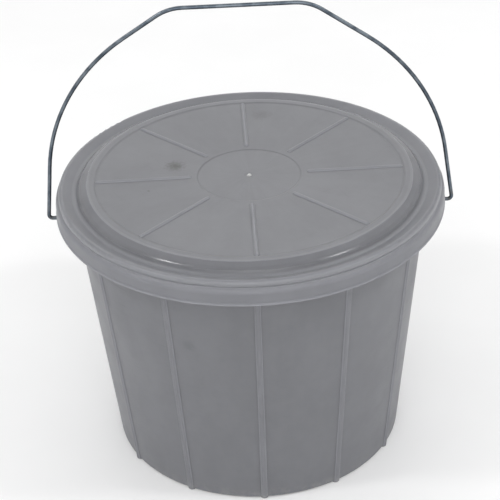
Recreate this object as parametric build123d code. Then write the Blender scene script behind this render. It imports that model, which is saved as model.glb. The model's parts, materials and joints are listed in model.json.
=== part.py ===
from build123d import *
import os

# Wash bucket with a press-in lid and a wire bail. Millimetres, +Z up, +X to the right, -Y to the front.
# The origin is on the bucket's axis, at the floor.

# Tub wall and base
FOOT_RADIUS = 113.5         # outside of the wall at the floor, before its corner is rounded
WALL_SLOPE = 0.1025         # the wall's outside radius grows by this much per millimetre of height
WALL = 1.6
FOOT_WIDTH = 7.0            # flat ring that the tub stands on
BASE_LIFT = 3.0             # the base is pushed up inside the foot ring
BASE_THICK = 1.8
FOOT_ROUND = 3.0

# Collar: the wall steps out to the lid's seat, and the rim is turned out and down as a skirt
STEP_LOW_Z = 203.0
STEP_HIGH_Z = 207.0
MOUTH_RADIUS = 137.0        # inside radius above the step
RIM_Z = 216.0
SKIRT_RADIUS = 148.2
SKIRT_BOTTOM_Z = 202.0
SKIRT_ROUND = 4.4
SKIRT_BEAD = 0.5            # the skirt's lower edge is this much thicker outwards
SKIRT_BEAD_HEIGHT = 1.6
SKIRT_BEAD_SLOPE = 1.0      # height of the bead's sloped top

# Wall ribs
WALL_RIBS = 12
WALL_RIB_RADIUS = 3.0
WALL_RIB_PROUD = 1.5
WALL_RIB_END_Z = 0.4
WALL_RIB_TOP_Z = 204.0      # just inside the step

# Ears, which the bail hooks into
PIVOT_Z = 193.3
EAR_RADIUS = 9.0            # the ear's rounded lower end, about the pivot
EAR_WEB = 1.4
EAR_WEB_TOP_DROP = 1.0      # where each web leaves the tab, below the pivot
EAR_WEB_LOW_DROP = 4.0      # where it meets the wall, below the tab's lower end
EAR_BOSS_RADIUS = 4.6
EAR_BOSS_PROUD = 0.9
HOLE_CLEARANCE = 0.08       # radial, round the wire

# Bail
WIRE_RADIUS = 1.5
LEG_X = 155.4               # wire's centre line where the leg meets the pivot's height
GRIP_RISE = 170.0           # grip's centre line above the pivot
HOOK_X = 140.5
HOOK_RISE = 6.5
HOOK_BEND = 3.0
SHOULDER_BEND = 142.0
GRIP_BEND = 35.0
LEFT_SHOULDER = (-143.2, 111.5)     # corners of the bail's outline: x, rise above the pivot
LEFT_GRIP_END = (-54.0, GRIP_RISE)
RIGHT_GRIP_END = (48.5, GRIP_RISE)
RIGHT_SHOULDER = (140.6, 105.5)

# Lid
LID_THICK = 1.4
LID_EDGE_RADIUS = 145.8
LID_EDGE_GAP = 0.2          # between the edge's lower end and the rim
CREST_RADIUS = 142.6        # the rolled edge is level from here to its outer rounding
CREST_Z = 220.4
HOLLOW_RADIUS = 142.2       # inner end of the hollow under the crest
SEAT_RADIUS = 139.4         # outer end of the flat that rests on the rim
PLUG_GAP = 0.4              # between the lid's plug wall and the tub's wall
PLUG_BOTTOM_Z = 209.0
VALLEY_RADIUS = 132.6       # where the flange meets the step up to the panel
VALLEY_Z = 216.4
SHOULDER_RADIUS = 130.6     # where the panel's gentle shoulder turns down into the step
SHOULDER_Z = 221.0
SHOULDER_ROUND = 6.2
PANEL_Z = 223.4             # upper side of the raised panel
PANEL_RADIUS = 123.8
PANEL_ROUND = 1.8
RIM_BEAD_WIDTH = 5.0
RIM_BEAD_SLOPE = 1.5        # radial length of the bead's inner slope
RIM_BEAD_RISE = 0.7
DISC_RADIUS = 39.0
DISC_SLOPE = 1.0            # radial length of the slope round the sunk disc
DISC_DROP = 0.45
LID_RIBS = 8
LID_RIB_RADIUS = 1.9
LID_RIB_RISE = 1.2
LID_RIB_START = 44.0
LID_RIB_END = 117.5
LID_TURN = 0.7              # degrees that the lid was turned when it was pressed in
GATE_DIMPLE_RADIUS = 4.0
GATE_DIMPLE_DEPTH = 0.5
GATE_NUB_RADIUS = 1.3
GATE_NUB_RISE = 0.7
GATE_NUB_ROOT = 0.4


def wall_outside(z):
    """Outside radius of the tub's wall at height z."""
    return FOOT_RADIUS + WALL_SLOPE * z


def wall_inside(z):
    """Inside radius of the tub's wall at height z."""
    return wall_outside(z) - WALL


def turned(corners):
    """Solid of revolution about Z. Each corner is (radius, height, rounding)."""
    section = make_face(Polyline(*[(radius, height) for radius, height, _ in corners], close=True).edges())
    for radius, height, rounding in corners:
        if rounding:
            section = fillet(section.vertices().sort_by_distance((radius, height))[0], rounding)
    return revolve(Plane.XZ * section, axis=Axis.Z)


def make_shell():
    """Base, wall and turned-over collar, all about one wall thick."""
    base_top = BASE_LIFT + BASE_THICK
    rim_under = RIM_Z - WALL
    skirt_inside = SKIRT_RADIUS - WALL
    bead_top = SKIRT_BOTTOM_Z + SKIRT_BEAD_HEIGHT
    bead_radius = SKIRT_RADIUS + SKIRT_BEAD
    foot_inside = FOOT_RADIUS - FOOT_WIDTH
    return turned([
        (0, BASE_LIFT, 0),
        (foot_inside - BASE_LIFT, BASE_LIFT, 2.0),
        (foot_inside, 0, 0.8),
        (FOOT_RADIUS, 0, FOOT_ROUND),
        (wall_outside(STEP_LOW_Z), STEP_LOW_Z, 2.0),
        (MOUTH_RADIUS + WALL, STEP_HIGH_Z, 2.0),
        (MOUTH_RADIUS + WALL, rim_under, 1.5),
        (skirt_inside, rim_under, SKIRT_ROUND - WALL),
        (skirt_inside, SKIRT_BOTTOM_Z, 0.3),
        (bead_radius, SKIRT_BOTTOM_Z, 0.6),
        (bead_radius, bead_top, 0.4),
        (SKIRT_RADIUS, bead_top + SKIRT_BEAD_SLOPE, 0.4),
        (SKIRT_RADIUS, RIM_Z, SKIRT_ROUND),
        (MOUTH_RADIUS, RIM_Z, 1.2),
        (MOUTH_RADIUS, STEP_HIGH_Z + WALL / 2, 1.5),
        (wall_inside(STEP_LOW_Z + WALL / 2), STEP_LOW_Z + WALL / 2, 2.0),
        (wall_inside(base_top), base_top, 3.0),
        (0, base_top, 0),
    ])


def make_wall_rib():
    """One half-round rib on the outside of the wall at +X, from the foot to the step under the rim."""
    axis_inset = WALL_RIB_RADIUS - WALL_RIB_PROUD
    foot = Vector(wall_outside(0) - axis_inset, 0, 0)
    rim = Vector(wall_outside(RIM_Z) - axis_inset, 0, RIM_Z)
    rod = Plane(foot, z_dir=rim - foot) * Cylinder(
        WALL_RIB_RADIUS, 2 * (rim - foot).length, align=(Align.CENTER, Align.CENTER, Align.CENTER)
    )
    slab = Pos(0, 0, WALL_RIB_END_Z) * Box(
        2 * FOOT_RADIUS,
        4 * WALL_RIB_RADIUS,
        WALL_RIB_TOP_Z - WALL_RIB_END_Z,
        align=(Align.MIN, Align.CENTER, Align.MIN),
    )
    return rod & slab


def make_tub_inside():
    """The space inside the tub's wall, a little larger, so that a rib trimmed with it ends in the wall."""
    keep = WALL / 2
    return turned([
        (0, 0, 0),
        (wall_inside(0) + keep, 0, 0),
        (wall_inside(RIM_Z) + keep, RIM_Z, 0),
        (0, RIM_Z, 0),
    ])


def make_ear():
    """One ear at +X: a tab that carries the skirt down past the pivot, a boss and two webs to the wall."""
    top = RIM_Z - SKIRT_ROUND
    tab_outline = Pos(0, PIVOT_Z) * Circle(EAR_RADIUS) + Pos(0, PIVOT_Z) * Rectangle(
        2 * EAR_RADIUS, top - PIVOT_Z, align=(Align.CENTER, Align.MIN)
    )
    along_x = Plane(origin=(0, 0, 0), x_dir=(0, 1, 0), z_dir=(1, 0, 0))
    tab_block = extrude(along_x * tab_outline, amount=2 * SKIRT_RADIUS)
    ring_height = top - PIVOT_Z + 2 * EAR_RADIUS
    ring_middle = Pos(0, 0, top - ring_height / 2)
    ring = ring_middle * (Cylinder(SKIRT_RADIUS, ring_height) - Cylinder(SKIRT_RADIUS - WALL, ring_height))
    tab = tab_block & ring
    boss_face = SKIRT_RADIUS + EAR_BOSS_PROUD
    boss = extrude(
        along_x.offset(boss_face) * Pos(0, PIVOT_Z) * Circle(EAR_BOSS_RADIUS),
        amount=-(EAR_BOSS_PROUD + WALL),
    )
    boss = fillet(boss.edges().filter_by(GeomType.CIRCLE).sort_by(Axis.X)[-1], 0.5)
    ear = tab + boss
    web_low = PIVOT_Z - EAR_RADIUS - EAR_WEB_LOW_DROP
    web_high = RIM_Z - WALL / 2
    web_outline = Polyline(
        (wall_outside(web_low) - WALL / 2, web_low),
        (SKIRT_RADIUS - WALL, PIVOT_Z - EAR_WEB_TOP_DROP),
        (SKIRT_RADIUS - WALL, web_high),
        (MOUTH_RADIUS + WALL / 2, web_high),
        (MOUTH_RADIUS + WALL / 2, STEP_HIGH_Z),
        (wall_outside(STEP_LOW_Z) - WALL / 2, STEP_LOW_Z),
        close=True,
    )
    web = extrude(Plane.XZ * make_face(web_outline.edges()), amount=EAR_WEB / 2, both=True)
    for side in (-1, 1):
        ear += Pos(0, side * (EAR_RADIUS - EAR_WEB / 2), 0) * web
    return ear


def make_tub():
    """The bucket body as one moulding."""
    tub = make_shell()
    rib = make_wall_rib() - make_tub_inside()
    tub += [Rot(0, 0, index * 360 / WALL_RIBS) * rib for index in range(WALL_RIBS)]
    ear = make_ear()
    tub += [ear, Rot(0, 0, 180) * ear]
    drill = Rot(0, 90, 0) * Cylinder(WIRE_RADIUS + HOLE_CLEARANCE, 2 * EAR_RADIUS)
    for side in (-1, 1):
        tub -= Pos(side * SKIRT_RADIUS, 0, PIVOT_Z) * drill
    return tub


def make_lid_plate():
    """The lid as a turned sheet: rolled edge, dished flange, plug wall, step, shoulder and raised panel."""
    plug = MOUTH_RADIUS - PLUG_GAP
    plug_inside = plug - LID_THICK
    edge_inside = LID_EDGE_RADIUS - LID_THICK
    edge_low = RIM_Z + LID_EDGE_GAP
    step_inside = VALLEY_RADIUS - LID_THICK
    bead_inside = PANEL_RADIUS - PANEL_ROUND - RIM_BEAD_WIDTH
    bead_slope_end = bead_inside + RIM_BEAD_SLOPE
    bead_top = PANEL_Z + RIM_BEAD_RISE
    disc_z = PANEL_Z - DISC_DROP
    disc_edge = DISC_RADIUS + DISC_SLOPE
    return turned([
        (0, disc_z, 0),
        (DISC_RADIUS, disc_z, 0.3),
        (disc_edge, PANEL_Z, 0.6),
        (bead_inside, PANEL_Z, 1.5),
        (bead_slope_end, bead_top, 1.0),
        (PANEL_RADIUS, bead_top, PANEL_ROUND),
        (SHOULDER_RADIUS, SHOULDER_Z, SHOULDER_ROUND),
        (VALLEY_RADIUS, VALLEY_Z, 2.4),
        (CREST_RADIUS, CREST_Z, 2.0),
        (LID_EDGE_RADIUS, CREST_Z, 2.5),
        (LID_EDGE_RADIUS, edge_low, 0.4),
        (edge_inside, edge_low, 0.2),
        (edge_inside, CREST_Z - LID_THICK, 1.2),
        (HOLLOW_RADIUS, CREST_Z - LID_THICK, 0.8),
        (SEAT_RADIUS, RIM_Z, 0.6),
        (plug, RIM_Z, 0.3),
        (plug, PLUG_BOTTOM_Z, 0.6),
        (plug_inside, PLUG_BOTTOM_Z, 0.5),
        (plug_inside, VALLEY_Z - LID_THICK, 0.5),
        (step_inside, VALLEY_Z - LID_THICK, 1.0),
        (SHOULDER_RADIUS - LID_THICK / 2, SHOULDER_Z - LID_THICK, SHOULDER_ROUND - LID_THICK),
        (PANEL_RADIUS - LID_THICK / 2, bead_top - LID_THICK, 0.8),
        (bead_slope_end, bead_top - LID_THICK, 1.0),
        (bead_inside, PANEL_Z - LID_THICK, 1.0),
        (disc_edge, PANEL_Z - LID_THICK, 0.6),
        (DISC_RADIUS, disc_z - LID_THICK, 0.3),
        (0, disc_z - LID_THICK, 0),
    ])


def make_lid_rib():
    """One low rounded rib along +X on the lid's panel, with rounded ends."""
    length = LID_RIB_END - LID_RIB_START - 2 * LID_RIB_RADIUS
    start = LID_RIB_START + LID_RIB_RADIUS
    bar = Pos(start, 0, 0) * Rot(0, 90, 0) * Cylinder(
        LID_RIB_RADIUS, length, align=(Align.CENTER, Align.CENTER, Align.MIN)
    )
    bar += Pos(start, 0, 0) * Sphere(LID_RIB_RADIUS)
    bar += Pos(start + length, 0, 0) * Sphere(LID_RIB_RADIUS)
    above = Pos(0, 0, LID_RIB_RADIUS - LID_RIB_RISE - LID_THICK / 2) * Box(
        2 * LID_RIB_END, 4 * LID_RIB_RADIUS, 4 * LID_RIB_RADIUS, align=(Align.MIN, Align.CENTER, Align.MIN)
    )
    return Pos(0, 0, PANEL_Z + LID_RIB_RISE - LID_RIB_RADIUS) * (bar & above)


def make_lid():
    """The lid as one moulding."""
    lid = make_lid_plate()
    rib = make_lid_rib()
    lid += [Rot(0, 0, index * 360 / LID_RIBS) * rib for index in range(LID_RIBS)]
    disc_z = PANEL_Z - DISC_DROP
    dimple_ball = (GATE_DIMPLE_RADIUS ** 2 + GATE_DIMPLE_DEPTH ** 2) / (2 * GATE_DIMPLE_DEPTH)
    lid -= Pos(0, 0, disc_z + dimple_ball - GATE_DIMPLE_DEPTH) * Sphere(dimple_ball)
    nub = Cylinder(
        GATE_NUB_RADIUS,
        GATE_NUB_ROOT + GATE_DIMPLE_DEPTH + GATE_NUB_RISE,
        align=(Align.CENTER, Align.CENTER, Align.MIN),
    )
    nub = fillet(nub.edges().filter_by(GeomType.CIRCLE).sort_by(Axis.Z)[-1], 0.6)
    lid += Pos(0, 0, disc_z - GATE_DIMPLE_DEPTH - GATE_NUB_ROOT) * nub
    return Rot(0, 0, LID_TURN) * lid


def make_bail():
    """The wire: hook, leg, shoulder, flat grip, and the same on the other side."""
    outline = [
        (-HOOK_X, HOOK_RISE),
        (-HOOK_X, 0),
        (-LEG_X, 0),
        LEFT_SHOULDER,
        LEFT_GRIP_END,
        RIGHT_GRIP_END,
        RIGHT_SHOULDER,
        (LEG_X, 0),
        (HOOK_X, 0),
        (HOOK_X, HOOK_RISE),
    ]
    one_side = [HOOK_BEND, HOOK_BEND, SHOULDER_BEND, GRIP_BEND]
    points = [(x, 0, PIVOT_Z + rise) for x, rise in outline]
    path = FilletPolyline(*points, radius=one_side + one_side[::-1])
    return sweep(Plane(path @ 0, z_dir=path % 0) * Circle(WIRE_RADIUS), path=path)


os.makedirs("parts", exist_ok=True)
export_step(make_tub(), "parts/tub.step")
export_step(make_lid(), "parts/lid.step")
export_step(make_bail(), "parts/bail.step")
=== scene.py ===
import json
import math

import bpy
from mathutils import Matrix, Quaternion, Vector


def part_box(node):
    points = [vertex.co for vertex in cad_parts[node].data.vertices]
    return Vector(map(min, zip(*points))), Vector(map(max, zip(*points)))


# Wash bucket of natural translucent plastic with a press-in lid and a zinc-plated wire bail.
# Every size is in metres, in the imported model's own frame.

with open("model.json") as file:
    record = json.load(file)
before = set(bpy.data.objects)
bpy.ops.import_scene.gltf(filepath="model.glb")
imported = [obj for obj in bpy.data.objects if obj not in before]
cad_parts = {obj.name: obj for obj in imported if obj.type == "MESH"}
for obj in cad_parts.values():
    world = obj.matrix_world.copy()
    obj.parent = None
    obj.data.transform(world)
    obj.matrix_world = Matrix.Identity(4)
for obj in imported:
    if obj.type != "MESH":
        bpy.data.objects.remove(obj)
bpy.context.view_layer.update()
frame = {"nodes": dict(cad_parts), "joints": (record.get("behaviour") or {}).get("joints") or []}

TUB = frame["nodes"]["tub"]
LID = frame["nodes"]["lid"]
BAIL = frame["nodes"]["bail"]
TUB_HIGH = Vector(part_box("tub")[1])
LID_HIGH = Vector(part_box("lid")[1])
PIVOT_Z = frame["joints"][0]["pos_m"][2]
LID_RIB_RISE = 0.0012
PANEL_Z = LID_HIGH.z - LID_RIB_RISE

# The tub's wall leans outwards: its outside radius at the floor, and its growth per metre of height
FOOT_RADIUS = 0.1135
WALL_SLOPE = 0.1025
WALL_MIDDLE_RADIUS = 0.125
SKIRT_DEPTH = 0.014
SKIRT_LOW = TUB_HIGH.z - SKIRT_DEPTH
SKIRT_RADIUS = TUB_HIGH.y

# Places on the lid, each by its inner and outer radius, from the middle outwards. At the first two a tone
# ends, at the last one a tone starts, and the others are rings.
GATE_EDGE = (0.0012, 0.0024)
LID_RIB_END = (0.1170, 0.1176)
BEAD_RING = (0.1226, 0.1242)
SMOOTH_RING = (0.1250, 0.1300)
STEP_RING = (0.1290, 0.1314)
VALLEY_RING = (0.1322, 0.1350)
FLANGE_START = (0.1326, 0.1340)

# Camera, fitted to the outlines in the photo
CAMERA_DISTANCE = 1.3539
CAMERA_ELEVATION = math.radians(32.06)
CAMERA_AZIMUTH = math.radians(-0.7)
CAMERA_ROLL = math.radians(-2.44)
CAMERA_LENS = 124.6
AIM_HEIGHT = 0.7195 * TUB_HIGH.z
AIM_SIDE = -0.0019

# Light
WORLD_STRENGTH = 0.75
FLOOR_SIZE = 6.0


# ---------------------------------------------------------------- node helpers

class Graph:
    """A material's nodes, added with short calls. Every call gives the new node's output socket."""

    def __init__(self, name):
        self.material = bpy.data.materials.new(name)
        self.material.use_nodes = True
        self.tree = self.material.node_tree
        self.tree.nodes.clear()
        self.output = self.tree.nodes.new("ShaderNodeOutputMaterial")
        self.shader = self.tree.nodes.new("ShaderNodeBsdfPrincipled")
        self.link(self.shader.outputs["BSDF"], self.output.inputs["Surface"])
        self.place = self.tree.nodes.new("ShaderNodeTexCoord").outputs["Object"]

    def link(self, source, target):
        """Joins a socket or writes a plain value to target."""
        if isinstance(source, bpy.types.NodeSocket):
            self.tree.links.new(source, target)
        else:
            target.default_value = source

    def math(self, operation, first, second=0.0, third=0.0, clamp=False):
        node = self.tree.nodes.new("ShaderNodeMath")
        node.operation = operation
        node.use_clamp = clamp
        for value, socket in zip((first, second, third), node.inputs):
            self.link(value, socket)
        return node.outputs[0]

    def scaled(self, vector, factors):
        """The vector with each part multiplied by its own factor."""
        node = self.tree.nodes.new("ShaderNodeVectorMath")
        node.operation = "MULTIPLY"
        self.link(vector, node.inputs[0])
        self.link(factors, node.inputs[1])
        return node.outputs[0]

    def parts(self, vector):
        node = self.tree.nodes.new("ShaderNodeSeparateXYZ")
        self.link(vector, node.inputs[0])
        return node.outputs

    def vector(self, x, y, z):
        node = self.tree.nodes.new("ShaderNodeCombineXYZ")
        for value, socket in zip((x, y, z), node.inputs):
            self.link(value, socket)
        return node.outputs[0]

    def noise(self, vector, scale, detail=3.0, roughness=0.55):
        """Cloudy noise from about 0.3 to 0.7."""
        node = self.tree.nodes.new("ShaderNodeTexNoise")
        self.link(vector, node.inputs["Vector"])
        node.inputs["Scale"].default_value = scale
        node.inputs["Detail"].default_value = detail
        node.inputs["Roughness"].default_value = roughness
        return node.outputs["Fac"]

    def band(self, value, low, high, to_low=0.0, to_high=1.0):
        """A smooth change from to_low to to_high as value goes from low to high."""
        node = self.tree.nodes.new("ShaderNodeMapRange")
        node.interpolation_type = "SMOOTHSTEP"
        self.link(value, node.inputs["Value"])
        for name, number in (("From Min", low), ("From Max", high), ("To Min", to_low), ("To Max", to_high)):
            node.inputs[name].default_value = number
        return node.outputs["Result"]

    def mix(self, factor, first, second):
        node = self.tree.nodes.new("ShaderNodeMix")
        node.data_type = "RGBA"
        self.link(factor, node.inputs["Factor"])
        self.link(first, node.inputs["A"])
        self.link(second, node.inputs["B"])
        return node.outputs["Result"]

    def inside(self, value, low, high, edge):
        """1 from low to high, falling smoothly to 0 at edge beyond them."""
        above = self.band(value, low - edge, low)
        below = self.band(value, high, high + edge, 1.0, 0.0)
        return self.math("MULTIPLY", above, below)

    def bump(self, height, distance, strength=1.0, below=None):
        node = self.tree.nodes.new("ShaderNodeBump")
        node.inputs["Distance"].default_value = distance
        node.inputs["Strength"].default_value = strength
        self.link(height, node.inputs["Height"])
        if below is not None:
            self.link(below, node.inputs["Normal"])
        return node.outputs["Normal"]

    def spot(self, centre, radius):
        """1 at the centre, falling to 0 at the radius, with an uneven edge."""
        node = self.tree.nodes.new("ShaderNodeVectorMath")
        node.operation = "DISTANCE"
        self.link(self.place, node.inputs[0])
        node.inputs[1].default_value = centre
        uneven = self.math("MULTIPLY_ADD", self.noise(self.place, 420.0, 2.0), 0.9 * radius, -0.45 * radius)
        distance = self.math("ADD", node.outputs["Value"], uneven)
        return self.band(distance, 0.0, radius, 1.0, 0.0)


def grey(level, warmth=0.0):
    """A near-neutral colour: level is its brightness, and a positive warmth turns it from blue to yellow."""
    return (level * (1.0 + warmth), level, level * (1.0 - warmth), 1.0)


def set_shader(graph, **values):
    """Writes plain values to the shader's own sockets."""
    for name, value in values.items():
        graph.shader.inputs[name.replace("_", " ")].default_value = value


# ---------------------------------------------------------------- plastic

def plastic_grey(level):
    """Unpigmented polypropylene: a grey with a little blue."""
    return (0.985 * level, level, 1.085 * level, 1.0)


PLASTIC_DARK = plastic_grey(0.189)
PLASTIC_LIGHT = plastic_grey(0.205)
# Tone of the painted light and painted highlights on edges, ribs, grooves and gaps
PLASTIC_PAINTED_LIGHT = plastic_grey(0.32)
# Tone of the painted shade on the step up to the panel
PLASTIC_PAINTED_SHADE = plastic_grey(0.10)
SMUDGE = grey(0.075, 0.02)
FOOT_SCUFF = grey(0.34, 0.01)

# How far each part of the mouldings goes from the common tone to the painted light one, set to stand in for
# light that comes through the translucent plastic: painted highlights on edges and ribs, painted light in
# grooves, gaps and on the ribs' flanks
WALL_RIB_FLANK_PAINTED_LIGHT = 0.48
COLLAR_PAINTED_LIGHT = 0.12
SHOULDER_PAINTED_HIGHLIGHT = 0.12
HEM_PAINTED_HIGHLIGHT = 0.04
MOUTH_PAINTED_LIGHT = 0.9
LID_RIB_PAINTED_HIGHLIGHT = 0.18
LID_RIB_FLANK_PAINTED_LIGHT = 0.50
BEAD_PAINTED_HIGHLIGHT = 0.26
VALLEY_PAINTED_LIGHT = 0.50
FLANGE_PAINTED_LIGHT = 0.14
LIP_PAINTED_LIGHT = 0.6

# How far the step up to the panel goes to the painted shade tone
STEP_PAINTED_SHADE = 0.15

HAIRLINE_SPACING = 0.0011
SCRATCH_ROUGHNESS = 0.12
SMOOTH_ROUGHNESS = -0.18


def cylinder_parts(graph):
    """Radius, height, and a direction that is the same all the way up a wall or along a radius."""
    x, y, z = graph.parts(graph.place)
    flat = graph.vector(x, y, 0.0)
    length = graph.tree.nodes.new("ShaderNodeVectorMath")
    length.operation = "LENGTH"
    graph.link(flat, length.inputs[0])
    direction = graph.tree.nodes.new("ShaderNodeVectorMath")
    direction.operation = "NORMALIZE"
    graph.link(flat, direction.inputs[0])
    return length.outputs["Value"], z, direction.outputs[0]


def add_plastic_base(graph):
    """The values that don't change over the surface of a polypropylene moulding."""
    set_shader(
        graph,
        IOR=1.49,
        Subsurface_Weight=0.75,
        Subsurface_Radius=(1.0, 1.0, 1.05),
        Subsurface_Scale=0.010,
        Transmission_Weight=0.12,
    )


def hairlines(graph, across, along, length):
    """Fine broken scratches, 1 on a line: across and along are positions at right angles to each other."""
    fine = graph.math("MULTIPLY", across, 1.0 / HAIRLINE_SPACING)
    slow = graph.math("MULTIPLY", along, 1.0 / length)
    line = graph.band(graph.noise(graph.vector(fine, slow, 0.0), 1.0, 1.0, 0.3), 0.66, 0.74)
    broken = graph.band(graph.noise(graph.place, 30.0, 2.0), 0.46, 0.6)
    return graph.math("MULTIPLY", line, broken)


def slanted(graph, degrees):
    """Two horizontal positions at right angles, turned about Z."""
    x, y, _ = graph.parts(graph.place)
    cosine, sine = math.cos(math.radians(degrees)), math.sin(math.radians(degrees))
    across = graph.math("MULTIPLY_ADD", x, cosine, graph.math("MULTIPLY", y, sine))
    along = graph.math("MULTIPLY_ADD", y, cosine, graph.math("MULTIPLY", x, -sine))
    return across, along


def smudged(graph, colour, marks):
    """The colour with soft dark marks, each given as (place, radius, depth)."""
    for centre, size, depth in marks:
        mark = graph.math("MULTIPLY", graph.spot(centre, size), depth)
        colour = graph.mix(mark, colour, SMUDGE)
    return colour


def with_painted_light(graph, colour, masks):
    """The colour with painted light, as strong as the strongest of the masks, each given with its amount."""
    light_amount = 0.0
    for mask, amount in masks:
        light_amount = graph.math("MAXIMUM", light_amount, graph.math("MULTIPLY", mask, amount))
    return graph.mix(light_amount, colour, PLASTIC_PAINTED_LIGHT)


def drawn_out(graph, direction, spread, along):
    """A place for noise that changes with the direction from the axis and slowly along the flow."""
    x, y, _ = graph.parts(graph.scaled(direction, (spread, spread, 0.0)))
    return graph.vector(x, y, along)


def make_tub_plastic():
    graph = Graph("tub_plastic")
    add_plastic_base(graph)
    radius, height, direction = cylinder_parts(graph)

    # Cloudy flow in the wall, drawn out upwards
    upward = drawn_out(graph, direction, 0.12, graph.math("MULTIPLY", height, 0.35))
    cloud = graph.noise(upward, 42.0, 3.0)
    fine_cloud = graph.noise(graph.place, 95.0, 3.0)
    mottle = graph.math("MULTIPLY_ADD", fine_cloud, 0.35, graph.math("MULTIPLY", cloud, 0.65))
    colour = graph.mix(graph.band(mottle, 0.36, 0.64), PLASTIC_DARK, PLASTIC_LIGHT)

    # Painted light on the ribs' flanks and the collar, painted highlights on the collar's shoulder and hem,
    # and painted light in the mouth under the lid's edge
    wall_radius = graph.math("MULTIPLY_ADD", height, WALL_SLOPE, FOOT_RADIUS)
    proud = graph.math("SUBTRACT", radius, wall_radius)
    rib_flank = graph.inside(proud, 0.0004, 0.0008, 0.0003)
    collar = graph.band(proud, 0.0040, 0.0060)
    colour = with_painted_light(graph, colour, ((rib_flank, WALL_RIB_FLANK_PAINTED_LIGHT), (collar, COLLAR_PAINTED_LIGHT)))
    outer = graph.band(radius, SKIRT_RADIUS - 0.0036, SKIRT_RADIUS - 0.0006)
    at_shoulder = graph.inside(height, TUB_HIGH.z - 0.0040, TUB_HIGH.z - 0.0006, 0.0012)
    at_hem = graph.band(height, SKIRT_LOW + 0.0012, SKIRT_LOW + 0.0026, 1.0, 0.0)
    shoulder = graph.math("MULTIPLY", outer, at_shoulder)
    hem = graph.math("MULTIPLY", outer, at_hem)
    mouth = graph.band(height, TUB_HIGH.z - 0.0010, TUB_HIGH.z - 0.0004)
    for mask, amount in ((shoulder, SHOULDER_PAINTED_HIGHLIGHT), (hem, HEM_PAINTED_HIGHLIGHT), (mouth, MOUTH_PAINTED_LIGHT)):
        colour = graph.mix(graph.math("MULTIPLY", mask, amount), colour, PLASTIC_PAINTED_LIGHT)

    # Foot: paler and rougher in patches where it stands
    foot = graph.band(height, 0.001, 0.012, 1.0, 0.0)
    worn = graph.math("MULTIPLY", foot, graph.band(graph.noise(graph.place, 160.0, 4.0), 0.45, 0.6))
    colour = graph.mix(graph.math("MULTIPLY", worn, 0.35), colour, FOOT_SCUFF)

    graph.link(smudged(graph, colour, TUB_SMUDGES), graph.shader.inputs["Base Color"])

    # Fine scratches run round the wall
    angle = graph.math("ARCTAN2", *graph.parts(direction)[:2])
    around = graph.math("MULTIPLY", angle, WALL_MIDDLE_RADIUS)
    scuffs = hairlines(graph, height, around, 0.030)
    dull = graph.band(graph.noise(graph.place, 22.0, 3.0), 0.35, 0.65, 0.42, 0.54)
    roughness = graph.math("MULTIPLY_ADD", scuffs, SCRATCH_ROUGHNESS, dull)
    roughness = graph.math("MULTIPLY_ADD", worn, 0.2, roughness)
    graph.link(roughness, graph.shader.inputs["Roughness"])

    waves = graph.bump(graph.noise(upward, 30.0, 1.0), 0.0012)
    grain = graph.bump(graph.noise(graph.place, 1500.0, 2.0), 0.00006, 0.6, waves)
    normal = graph.bump(scuffs, 0.00008, -0.8, grain)
    graph.link(normal, graph.shader.inputs["Normal"])
    return graph.material


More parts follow.
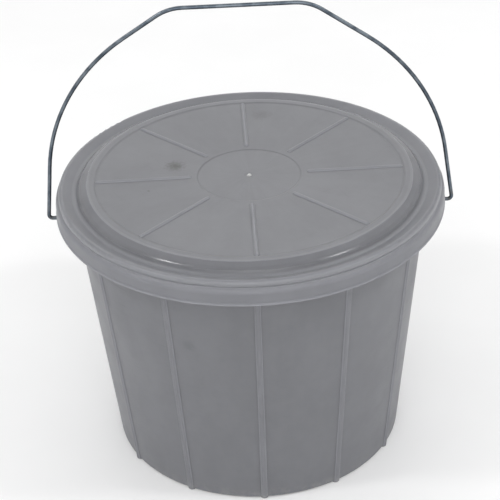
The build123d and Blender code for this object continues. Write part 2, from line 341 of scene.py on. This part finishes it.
def make_lid_plastic():
    graph = Graph("lid_plastic")
    add_plastic_base(graph)
    radius, height, direction = cylinder_parts(graph)

    # Cloudy flow outwards from the gate in the middle
    outward = drawn_out(graph, direction, 0.1, graph.math("MULTIPLY", radius, 0.25))
    streaks = graph.noise(outward, 70.0, 3.0)
    cloud = graph.noise(graph.place, 26.0, 3.0)
    fine_cloud = graph.noise(graph.place, 110.0, 3.0)
    mottle = graph.math("MULTIPLY_ADD", streaks, 0.4, graph.math("MULTIPLY", cloud, 0.35))
    mottle = graph.math("MULTIPLY_ADD", fine_cloud, 0.25, mottle)
    colour = graph.mix(graph.band(mottle, 0.36, 0.64), PLASTIC_DARK, PLASTIC_LIGHT)

    # Painted light on the flange, its lip, the valley and the ribs' flanks, and painted highlights on the
    # bead and the ribs' crowns
    on_panel = graph.band(radius, *LID_RIB_END, 1.0, 0.0)
    at_flank = graph.inside(height, PANEL_Z + 0.0003, PANEL_Z + 0.0007, 0.0003)
    at_crown = graph.band(height, PANEL_Z + 0.0007, PANEL_Z + 0.0010)
    rib_flanks = graph.math("MULTIPLY", on_panel, at_flank)
    rib_crowns = graph.math("MULTIPLY", on_panel, at_crown)
    at_panel = graph.band(height, PANEL_Z - 0.002, PANEL_Z)
    bead = graph.math("MULTIPLY", at_panel, graph.inside(radius, *BEAD_RING, 0.0008))
    valley = graph.inside(radius, *VALLEY_RING, 0.0016)
    flange = graph.band(radius, *FLANGE_START)
    lip = graph.band(radius, LID_HIGH.y - 0.0016, LID_HIGH.y - 0.0004)
    colour = with_painted_light(graph, colour, (
        (rib_flanks, LID_RIB_FLANK_PAINTED_LIGHT),
        (rib_crowns, LID_RIB_PAINTED_HIGHLIGHT),
        (bead, BEAD_PAINTED_HIGHLIGHT),
        (valley, VALLEY_PAINTED_LIGHT),
        (flange, FLANGE_PAINTED_LIGHT),
        (lip, LIP_PAINTED_LIGHT),
    ))

    # Painted shade on the steep step up to the panel
    step_shade = graph.math("MULTIPLY", graph.inside(radius, *STEP_RING, 0.0014), STEP_PAINTED_SHADE)
    colour = graph.mix(step_shade, colour, PLASTIC_PAINTED_SHADE)

    # Painted highlight: the gate's nub in the middle is painted nearly white
    gate_highlight = graph.band(radius, *GATE_EDGE, 1.0, 0.0)
    colour = graph.mix(gate_highlight, colour, grey(0.62))
    graph.link(smudged(graph, colour, LID_SMUDGES), graph.shader.inputs["Base Color"])

    # Fine scratches run two ways over the lid, except on the smoother shoulder round the panel
    smooth = graph.inside(radius, *SMOOTH_RING, 0.0015)
    scuffs = graph.math(
        "MAXIMUM",
        hairlines(graph, *slanted(graph, 25), 0.040),
        hairlines(graph, *slanted(graph, 118), 0.025),
    )
    scuffs = graph.math("MULTIPLY", scuffs, graph.math("SUBTRACT", 1.0, smooth))
    dull = graph.band(graph.noise(graph.place, 18.0, 3.0), 0.35, 0.65, 0.30, 0.40)
    roughness = graph.math("MULTIPLY_ADD", scuffs, SCRATCH_ROUGHNESS, dull)
    roughness = graph.math("MULTIPLY_ADD", smooth, SMOOTH_ROUGHNESS, roughness)
    graph.link(roughness, graph.shader.inputs["Roughness"])

    waves = graph.bump(graph.noise(graph.place, 12.0, 1.0), 0.0004)
    grain = graph.bump(graph.noise(graph.place, 1300.0, 2.0), 0.00007, 0.6, waves)
    normal = graph.bump(scuffs, 0.00008, -0.8, grain)
    graph.link(normal, graph.shader.inputs["Normal"])
    return graph.material


# Soft dark marks: place on the surface, radius, depth of colour
LID_SMUDGES = [
    ((-0.0565, 0.0185, PANEL_Z), 0.0105, 0.90),
    ((0.0130, 0.0960, PANEL_Z), 0.0120, 0.34),
    ((-0.0765, -0.0180, PANEL_Z), 0.0016, 0.8),
]
TUB_SMUDGES = [
    ((-0.0505, -0.1180, 0.150), 0.0070, 0.22),
]


# ---------------------------------------------------------------- wire

ZINC_DARK = (0.085, 0.105, 0.13, 1.0)
ZINC_LIGHT = (0.19, 0.22, 0.25, 1.0)
ZINC_DULL = (0.14, 0.13, 0.12, 1.0)


def make_zinc_wire():
    graph = Graph("zinc_wire")
    set_shader(graph, Metallic=1.0)
    z = graph.parts(graph.place)[2]

    # Drawing lines run along the wire, which lies mostly in the XZ plane
    drawn = graph.scaled(graph.place, (0.08, 3.0, 0.08))
    lines = graph.noise(drawn, 900.0, 2.0)
    patches = graph.noise(graph.place, 120.0, 3.0)
    tone = graph.math("MULTIPLY_ADD", lines, 0.35, graph.math("MULTIPLY", patches, 0.65))
    colour = graph.mix(graph.band(tone, 0.38, 0.62), ZINC_DARK, ZINC_LIGHT)

    # The wire is browner and duller in patches near the ears
    hook = graph.band(z, PIVOT_Z + 0.002, PIVOT_Z + 0.014, 1.0, 0.0)
    hook = graph.math("MULTIPLY", hook, graph.band(graph.noise(graph.place, 260.0, 3.0), 0.4, 0.58))
    colour = graph.mix(graph.math("MULTIPLY", hook, 0.6), colour, ZINC_DULL)
    graph.link(colour, graph.shader.inputs["Base Color"])

    roughness = graph.band(patches, 0.35, 0.65, 0.29, 0.42)
    graph.link(graph.math("MULTIPLY_ADD", hook, 0.25, roughness), graph.shader.inputs["Roughness"])
    graph.link(graph.bump(lines, 0.00005, 0.5), graph.shader.inputs["Normal"])
    return graph.material


def dress(node, material):
    """Puts one material on every face of a CAD node."""
    node.data.materials.clear()
    node.data.materials.append(material)


# ---------------------------------------------------------------- studio

def make_camera():
    data = bpy.data.cameras.new("camera")
    data.lens = CAMERA_LENS
    data.sensor_width = 36.0
    camera = bpy.data.objects.new("camera", data)
    bpy.context.scene.collection.objects.link(camera)
    aim = Vector((AIM_SIDE, 0.0, AIM_HEIGHT))
    away = Vector((
        math.sin(CAMERA_AZIMUTH) * math.cos(CAMERA_ELEVATION),
        -math.cos(CAMERA_AZIMUTH) * math.cos(CAMERA_ELEVATION),
        math.sin(CAMERA_ELEVATION),
    ))
    camera.location = aim + CAMERA_DISTANCE * away
    turn = (-away).to_track_quat("-Z", "Y") @ Quaternion((0.0, 0.0, 1.0), CAMERA_ROLL)
    camera.rotation_mode = "QUATERNION"
    camera.rotation_quaternion = turn
    bpy.context.scene.camera = camera


def make_floor():
    half = FLOOR_SIZE / 2
    mesh = bpy.data.meshes.new("floor")
    corners = [(-half, -half, 0), (half, -half, 0), (half, half, 0), (-half, half, 0)]
    mesh.from_pydata(corners, [], [(0, 1, 2, 3)])
    floor = bpy.data.objects.new("floor", mesh)
    bpy.context.scene.collection.objects.link(floor)
    graph = Graph("floor_paint")
    mottle = graph.band(graph.noise(graph.place, 6.0, 3.0), 0.3, 0.7)
    graph.link(graph.mix(mottle, grey(0.93), grey(0.95)), graph.shader.inputs["Base Color"])
    set_shader(graph, Roughness=0.9)
    mesh.materials.append(graph.material)


def make_softbox(name, azimuth, elevation, distance, size, power):
    """A square soft light aimed at the bucket. Azimuth 0 is the front, and it grows to the right."""
    data = bpy.data.lights.new(name, "AREA")
    data.shape = "SQUARE"
    data.size = size
    data.energy = power
    light = bpy.data.objects.new(name, data)
    bpy.context.scene.collection.objects.link(light)
    azimuth, elevation = math.radians(azimuth), math.radians(elevation)
    away = Vector((
        math.sin(azimuth) * math.cos(elevation),
        -math.cos(azimuth) * math.cos(elevation),
        math.sin(elevation),
    ))
    light.location = Vector((0.0, 0.0, TUB_HIGH.z)) + distance * away
    light.rotation_mode = "QUATERNION"
    light.rotation_quaternion = (-away).to_track_quat("-Z", "Y")


def make_studio():
    world = bpy.data.worlds.new("studio")
    world.use_nodes = True
    background = world.node_tree.nodes["Background"]
    background.inputs["Color"].default_value = (1.0, 1.0, 1.0, 1.0)
    background.inputs["Strength"].default_value = WORLD_STRENGTH
    bpy.context.scene.world = world
    bpy.context.scene.view_settings.view_transform = "Standard"
    make_softbox("lamp_right", 67, 48, 1.6, 0.16, 4.0)
    make_softbox("lamp_left", -67, 48, 1.6, 0.16, 4.0)
    make_softbox("softbox_front", 0, 30, 2.4, 1.6, 15)
    make_softbox("softbox_right", 110, 35, 2.4, 1.4, 1)
    make_softbox("softbox_left", -110, 35, 2.4, 1.4, 1)
    make_softbox("softbox_back", 180, 45, 2.4, 1.4, 6.8)


make_camera()
make_floor()
make_studio()
dress(TUB, make_tub_plastic())
dress(LID, make_lid_plastic())
dress(BAIL, make_zinc_wire())
